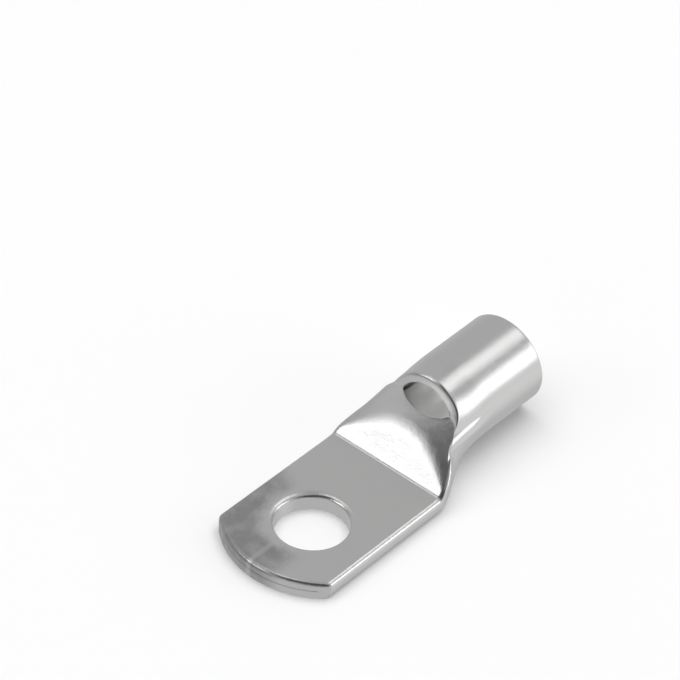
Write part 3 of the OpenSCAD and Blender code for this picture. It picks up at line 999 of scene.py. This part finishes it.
# Patches of the surround: heading, height and half angle in degrees, share taken away or added
PATCHES = (
    (122, 18, 25, -0.40),
    (153, 8, 22, -0.75),
    (46, 74, 20, -0.40),
    (180, 52, 34, -0.90),
    (130, 56, 16, -0.70),
    (232, 32, 42, -0.90),
    (-50, -5, 50, 0.45),
)

# Heights, as sines, between which the surround turns from the brightness below to that of the sky
HORIZON = (-0.35, 0.1)
# How far the soft boxes stand from the part, and the floor light's place and size
BOX_DISTANCE = 0.6
PAPER_LIGHT = {"azimuth": 39, "elevation": 88, "distance": 1.5, "width": 2.0, "height": 2.0}
# Half the floor's side, in lengths of the part
FLOOR_REACH = 40


def surround(sky, underside):
    """A grey room, lighter below than above, with darker and lighter patches."""
    world = bpy.data.worlds.new("surround")
    world.use_nodes = True
    room = Nodes(world.node_tree)
    place = room.node("ShaderNodeTexCoord", output="Generated")
    up = room.split(place)[2]
    light = underside + (sky - underside) * up.between(*HORIZON)
    for *heading, half_angle, share in PATCHES:
        pair = {0: place, 1: toward(*map(math.radians, heading))}
        dot = {"operation": "DOT_PRODUCT"}
        near = room.node("ShaderNodeVectorMath", dot, pair, output="Value")
        light = light * (1 + share * near.between(math.cos(math.radians(half_angle)), 1.0))
    white = {"Color": (1.0, 1.0, 1.0, 1.0), "Strength": light}
    room.finish("ShaderNodeOutputWorld", room.node("ShaderNodeBackground", inputs=white))
    return world


def soft_box(name, target, azimuth, elevation, distance, width, height, radiance):
    """An area light that faces the target from a heading and a height in degrees."""
    data = bpy.data.lights.new(name, "AREA")
    data.shape = "RECTANGLE"
    data.size, data.size_y = width, height
    data.energy = radiance * math.pi * width * height
    lamp = bpy.data.objects.new(name, data)
    lamp.location = target + toward(math.radians(azimuth), math.radians(elevation)) * distance
    lamp.rotation_euler = (target - lamp.location).to_track_quat("-Z", "Y").to_euler()
    bpy.context.scene.collection.objects.link(lamp)
    return lamp


def paper_floor(color, reach, z):
    """A matt square under the part that its metal doesn't reflect."""
    mesh = bpy.data.meshes.new("floor")
    corners = [(-reach, -reach), (reach, -reach), (reach, reach), (-reach, reach)]
    mesh.from_pydata([(x, y, z) for x, y in corners], [], [(0, 1, 2, 3)])
    paper = bpy.data.materials.new("paper_floor")
    paper.use_nodes = True
    nodes = Nodes(paper.node_tree)
    matt = {"Base Color": tuple(color), "Roughness": 0.9, "Specular IOR Level": 0.1}
    nodes.finish("ShaderNodeOutputMaterial", nodes.node("ShaderNodeBsdfPrincipled", inputs=matt))
    mesh.materials.append(paper)
    floor = bpy.data.objects.new("floor", mesh)
    floor.visible_glossy = False
    floor.visible_shadow = False
    return floor


def stage_camera(stage):
    """The camera, turned about its view."""
    data = bpy.data.cameras.new("camera")
    data.sensor_width = 36.0
    data.lens = stage.lens
    data.clip_start, data.clip_end = 0.01, 20.0
    camera = bpy.data.objects.new("camera", data)
    view = toward(stage.azimuth, -stage.elevation)
    camera.location = Vector(stage.aim) - view * stage.distance
    level = view.to_track_quat("-Z", "Y").to_matrix()
    camera.rotation_euler = (level @ Matrix.Rotation(stage.roll, 3, "Z")).to_euler()
    return camera


class LUG_OT_set_stage(bpy.types.Operator):
    """Lay the floor, hang the lights and set the camera"""

    bl_idname = "lug.set_stage"
    bl_label = "Stage"

    def execute(self, context):
        scene = context.scene
        stage = scene.lug_stage
        low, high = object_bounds()
        middle = (low + high) / 2
        floor = paper_floor(stage.floor_color, FLOOR_REACH * (high.x - low.x), low.z)
        scene.collection.objects.link(floor)
        floor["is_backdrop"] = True
        scene.world = surround(stage.sky, stage.underside)
        for name, azimuth, elevation, width, height, radiance in SOFT_BOXES:
            soft_box(name, middle, azimuth, elevation, BOX_DISTANCE, width, height, radiance)
        paper_light = soft_box("paper_light", middle, radiance=stage.paper_light, **PAPER_LIGHT)
        paper_light.visible_glossy = False
        scene.camera = stage_camera(stage)
        scene.collection.objects.link(scene.camera)
        scene.view_settings.view_transform = "Standard"
        return {"FINISHED"}


class LUG_PT_panel(bpy.types.Panel):
    """Sizes, finish and operators of the cable lug"""

    bl_label = "Cable Lug"
    bl_idname = "LUG_PT_panel"
    bl_space_type = "VIEW_3D"
    bl_region_type = "UI"
    bl_category = "Cable Lug"

    def draw(self, context):
        layout = self.layout
        for group in (context.scene.lug_sizes, context.scene.lug_stage):
            for name in group.__annotations__:
                layout.prop(group, name)
        for operator in OPERATORS:
            layout.operator(operator.bl_idname)


OPERATORS = (LUG_OT_press_tube, LUG_OT_set_stage)
CLASSES = (LugSizes, StageSettings, *OPERATORS, LUG_PT_panel)


def register():
    for cls in CLASSES:
        bpy.utils.register_class(cls)
    bpy.types.Scene.lug_sizes = bpy.props.PointerProperty(type=LugSizes)
    bpy.types.Scene.lug_stage = bpy.props.PointerProperty(type=StageSettings)


def unregister():
    del bpy.types.Scene.lug_stage
    del bpy.types.Scene.lug_sizes
    for cls in reversed(CLASSES):
        bpy.utils.unregister_class(cls)


def main():
    register()
    bpy.ops.lug.press_tube()
    bpy.ops.lug.set_stage()


if __name__ == "__main__":
    main()
